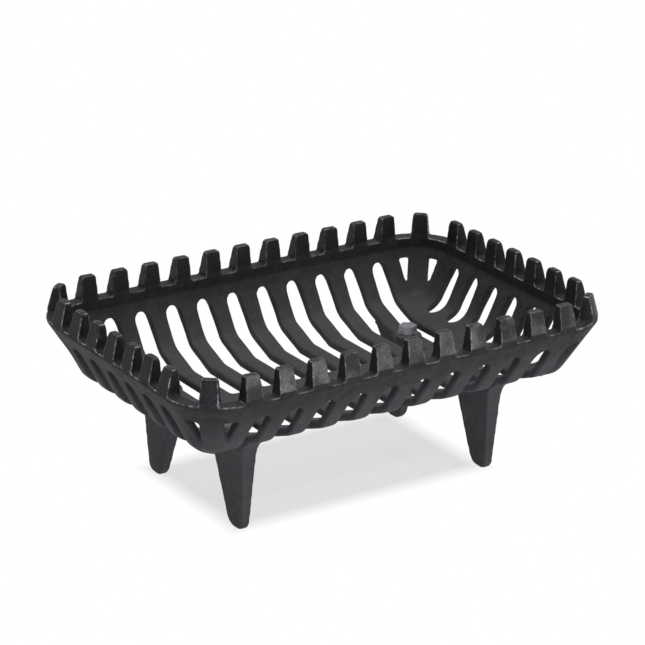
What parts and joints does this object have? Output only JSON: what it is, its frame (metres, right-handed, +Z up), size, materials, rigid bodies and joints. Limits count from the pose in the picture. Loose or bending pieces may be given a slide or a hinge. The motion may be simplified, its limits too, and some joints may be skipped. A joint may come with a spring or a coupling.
{
  "type": "log grate",
  "caption": "Cast iron log grate: a shallow slotted basket with a crown of blunt teeth round its rim, standing on bolted tapered fin legs.",
  "frame": {"origin": "centre of the footprint, on the floor under the feet", "axes": "+X along the grate towards its right end as seen from the front, +Y towards the back, +Z up"},
  "size_m": [0.385, 0.26, 0.153],
  "materials": {
    "cast_iron": "matte black stove paint over sand-cast iron",
    "fastener_steel": "dull zinc plate"
  },
  "bodies": {
    "root": {"basket": "cast_iron", "leg_front_left": "cast_iron", "leg_front_right": "cast_iron", "leg_rear_left": "cast_iron", "leg_rear_right": "cast_iron", "leg_washer_front_left": "fastener_steel", "leg_washer_front_right": "fastener_steel", "leg_washer_rear_left": "fastener_steel", "leg_washer_rear_right": "fastener_steel", "leg_bolt_front_left": "fastener_steel", "leg_bolt_front_right": "fastener_steel", "leg_bolt_rear_left": "fastener_steel", "leg_bolt_rear_right": "fastener_steel"}
  },
  "joints": []
}
